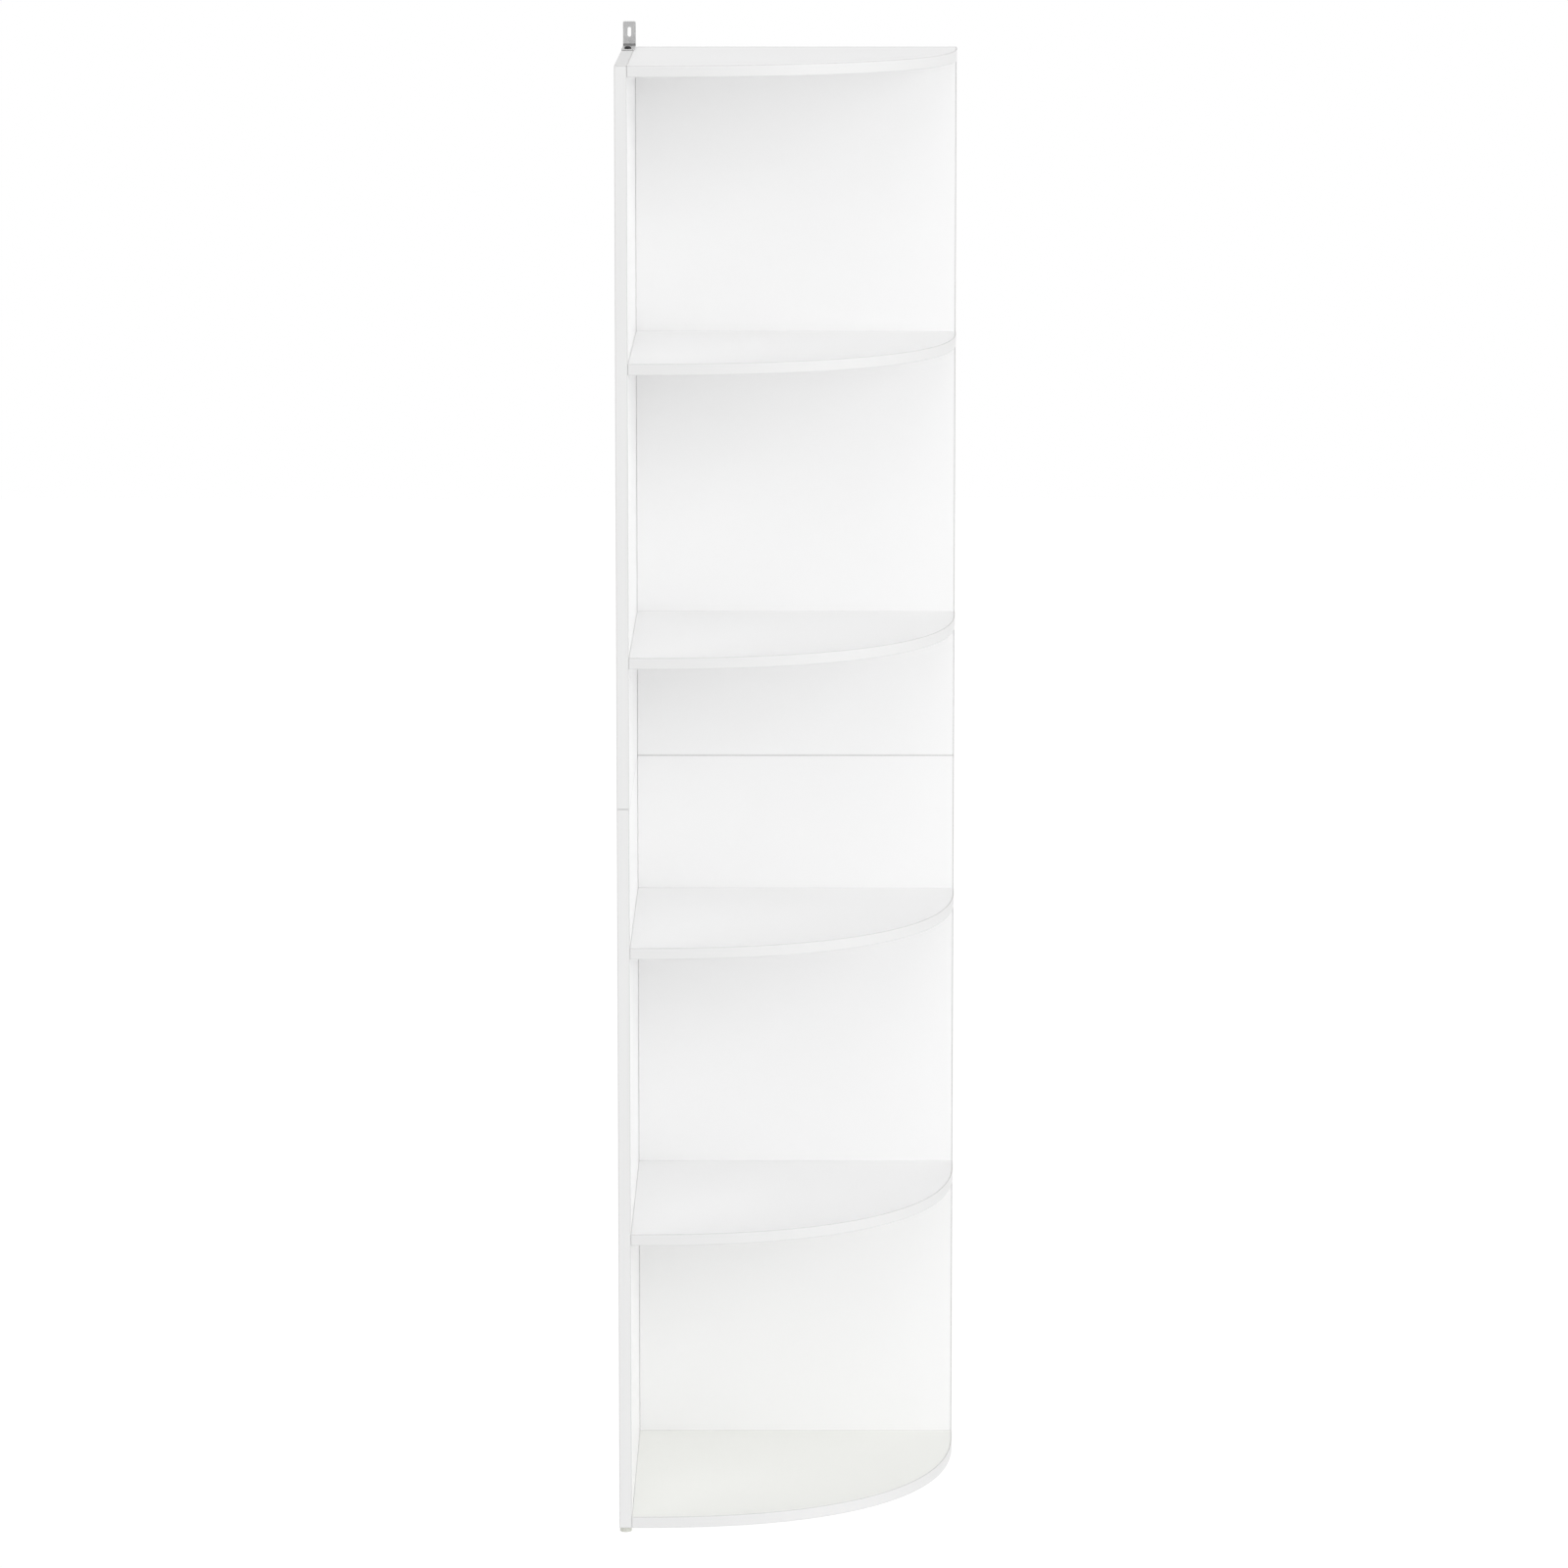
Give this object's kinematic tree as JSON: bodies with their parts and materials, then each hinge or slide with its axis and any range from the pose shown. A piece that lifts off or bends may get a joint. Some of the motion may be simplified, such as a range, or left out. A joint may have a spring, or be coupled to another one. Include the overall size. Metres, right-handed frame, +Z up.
{
  "type": "corner shelf unit",
  "caption": "Tall open corner shelf unit: a side panel and a back panel in an L carry curved boards, with a wall angle on top and small levelling feet.",
  "frame": {"origin": "on the floor, under the centre of the unit's footprint", "axes": "+Z up, -Y towards the viewer in the picture, +X to the viewer's right; the back panel is at +Y and the side panel at -X"},
  "size_m": [0.55, 0.58, 2.4107],
  "materials": {
    "white_foil": "white foil on particleboard, satin",
    "edge_band": "white plastic edging, satin",
    "zinc_steel": "bright zinc plated",
    "cam_metal": "die-cast zinc, dull",
    "dark_steel": "black oxide, satin",
    "beech": "plain beech",
    "foot_plastic": "moulded, pale grey-green",
    "socket_plastic": "moulded, off-white"
  },
  "bodies": {
    "carcass": {"side_panel_lower": "white_foil", "side_panel_lower_edge_band": "edge_band", "side_panel_upper": "white_foil", "side_panel_upper_edge_band": "edge_band", "back_panel_lower": "white_foil", "back_panel_lower_edge_band": "edge_band", "back_panel_upper": "white_foil", "back_panel_upper_edge_band": "edge_band", "bottom_board": "white_foil", "bottom_board_edge_band": "edge_band", "bottom_board_cam_front": "cam_metal", "bottom_board_cam_rear": "cam_metal", "bottom_board_screw_left": "zinc_steel", "bottom_board_screw_right": "zinc_steel", "shelf_1": "white_foil", "shelf_1_edge_band": "edge_band", "shelf_1_cam_front": "cam_metal", "shelf_1_cam_rear": "cam_metal", "shelf_1_screw_left": "zinc_steel", "shelf_1_screw_right": "zinc_steel", "shelf_2": "white_foil", "shelf_2_edge_band": "edge_band", "shelf_2_cam_front": "cam_metal", "shelf_2_cam_rear": "cam_metal", "shelf_2_screw_left": "zinc_steel", "shelf_2_screw_right": "zinc_steel", "shelf_3": "white_foil", "shelf_3_edge_band": "edge_band", "shelf_3_cam_front": "cam_metal", "shelf_3_cam_rear": "cam_metal", "shelf_3_screw_left": "zinc_steel", "shelf_3_screw_right": "zinc_steel", "shelf_4": "white_foil", "shelf_4_edge_band": "edge_band", "shelf_4_cam_front": "cam_metal", "shelf_4_cam_rear": "cam_metal", "shelf_4_screw_left": "zinc_steel", "shelf_4_screw_right": "zinc_steel", "top_board": "white_foil", "top_board_edge_band": "edge_band", "top_board_cam_front": "cam_metal", "top_board_cam_rear": "cam_metal", "top_board_screw_left": "zinc_steel", "top_board_screw_right": "zinc_steel", "corner_cam_1": "cam_metal", "corner_cam_2": "cam_metal", "corner_cam_3": "cam_metal", "corner_cam_4": "cam_metal", "seam_dowel_side_front": "beech", "seam_dowel_side_rear": "beech", "seam_dowel_back_left": "beech", "seam_dowel_back_right": "beech", "foot_socket_front": "socket_plastic", "foot_socket_corner": "socket_plastic", "foot_socket_end": "socket_plastic", "wall_bracket": "zinc_steel", "bracket_screw": "dark_steel"},
    "front_foot": {"foot_front": "foot_plastic"},
    "corner_foot": {"foot_corner": "foot_plastic"},
    "end_foot": {"foot_end": "foot_plastic"}
  },
  "joints": [
    {"name": "front_foot_height", "type": "slide", "parent": "carcass", "child": "front_foot", "axis": [0, 0, -1], "range_m": [0, 0.01]},
    {"name": "corner_foot_height", "type": "slide", "parent": "carcass", "child": "corner_foot", "axis": [0, 0, -1], "range_m": [0, 0.01]},
    {"name": "end_foot_height", "type": "slide", "parent": "carcass", "child": "end_foot", "axis": [0, 0, -1], "range_m": [0, 0.01]}
  ]
}
